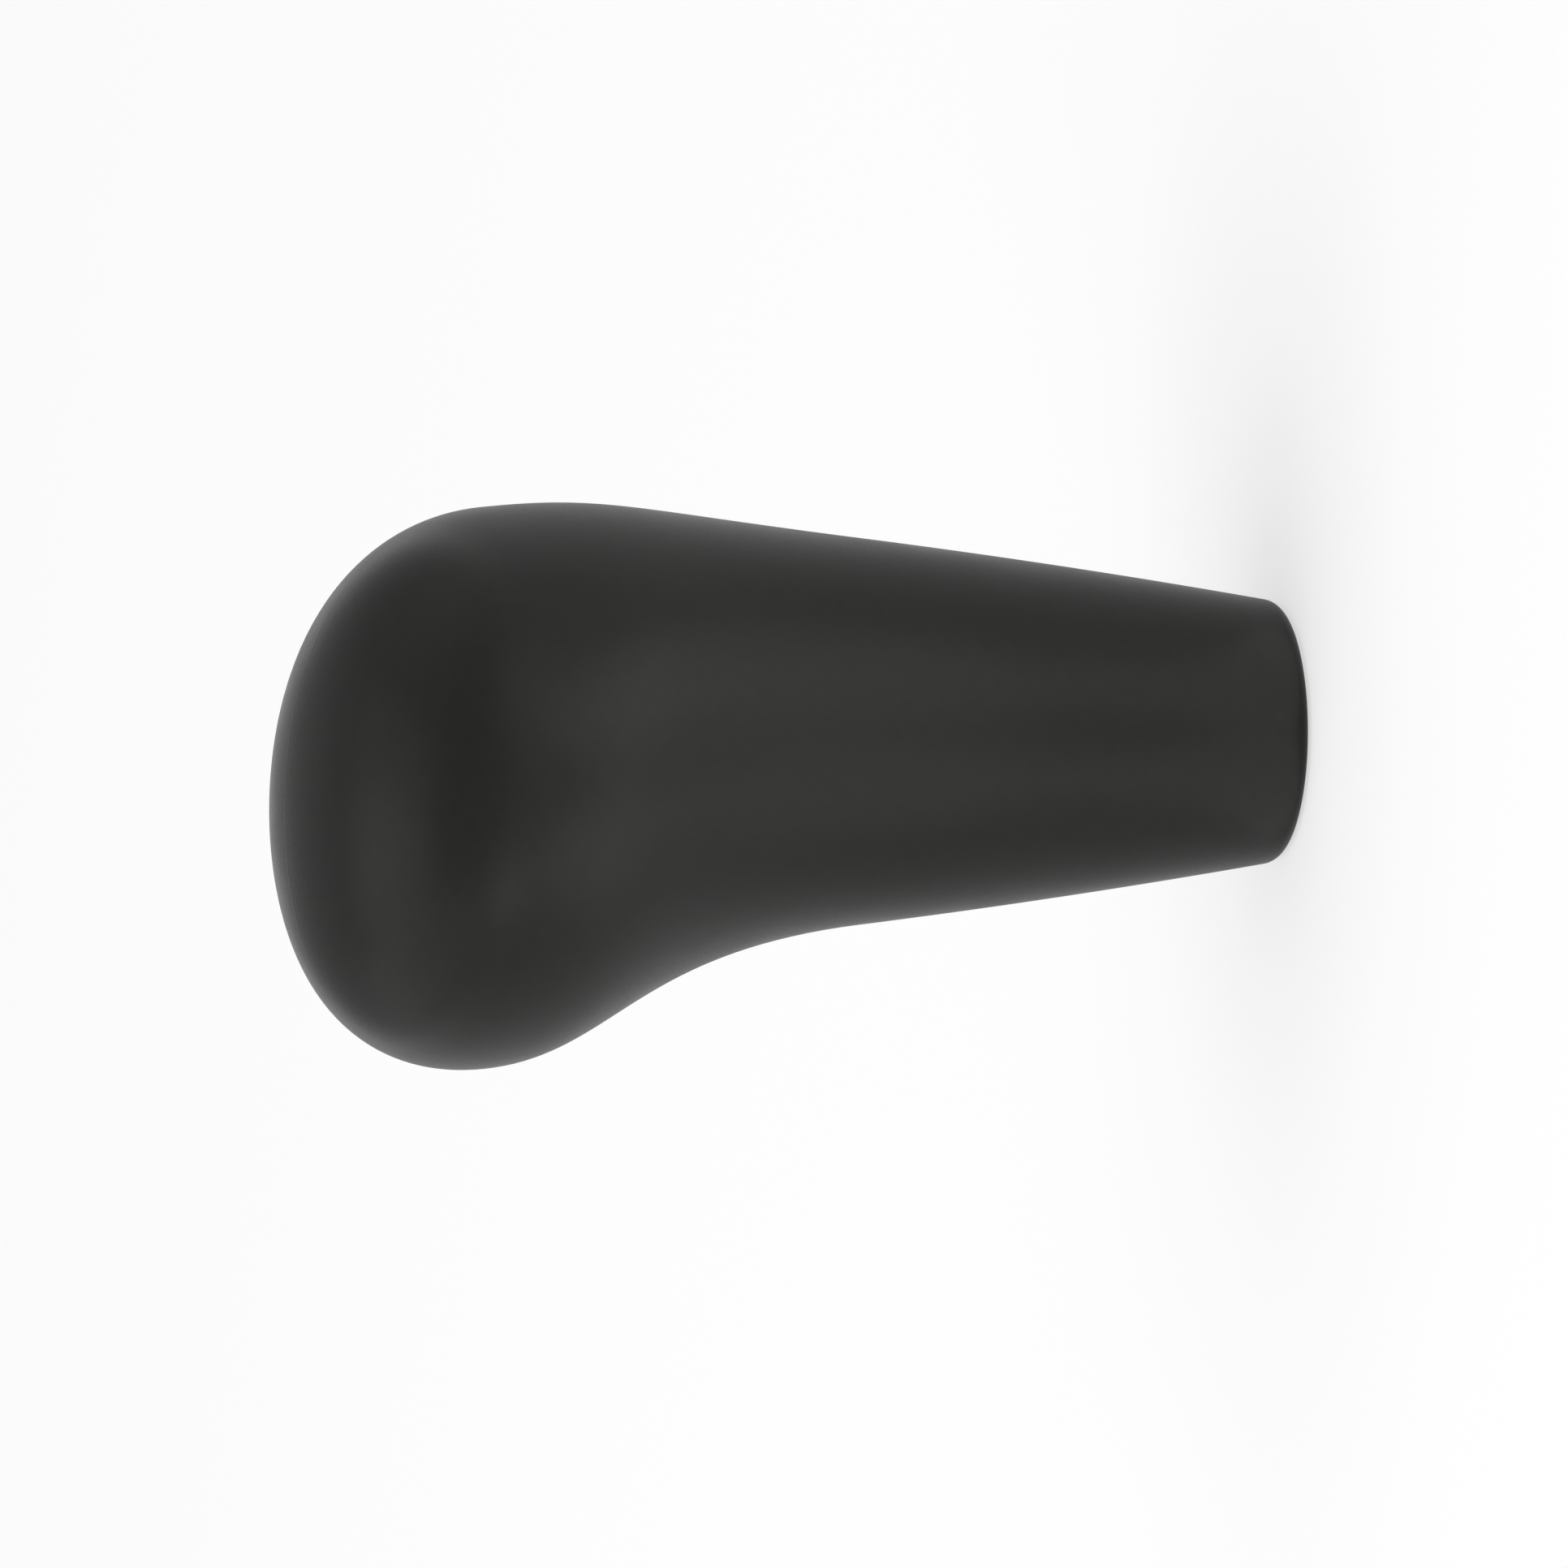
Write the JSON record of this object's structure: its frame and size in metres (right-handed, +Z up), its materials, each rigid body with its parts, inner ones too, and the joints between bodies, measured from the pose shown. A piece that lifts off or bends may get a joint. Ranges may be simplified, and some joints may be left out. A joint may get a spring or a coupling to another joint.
{
  "type": "clay shaper tool",
  "caption": "Palm-held clay shaper: a smooth black pear-shaped head, swelling to one side, on a round tapering grip with a threaded socket in its flat end.",
  "frame": {"origin": "centre of the flat end, at the mouth of the threaded socket", "axes": "+Z up the axis of the grip from the flat end to the crown of the head, +X towards the side on which the head swells out, +Y across the tool, square to its plane of symmetry"},
  "size_m": [0.043, 0.0426, 0.0779],
  "materials": {
    "skin": "satin black moulded rubber",
    "core": "glass-filled nylon, matt",
    "insert": "turned brass",
    "screw": "zinc-plated steel"
  },
  "bodies": {
    "root": {"shaper_skin": "skin", "core_half_tapped": "core", "core_half_bored": "core", "threaded_insert": "insert", "core_screw_1": "screw", "core_screw_2": "screw", "core_screw_3": "screw", "core_screw_4": "screw"}
  },
  "joints": []
}
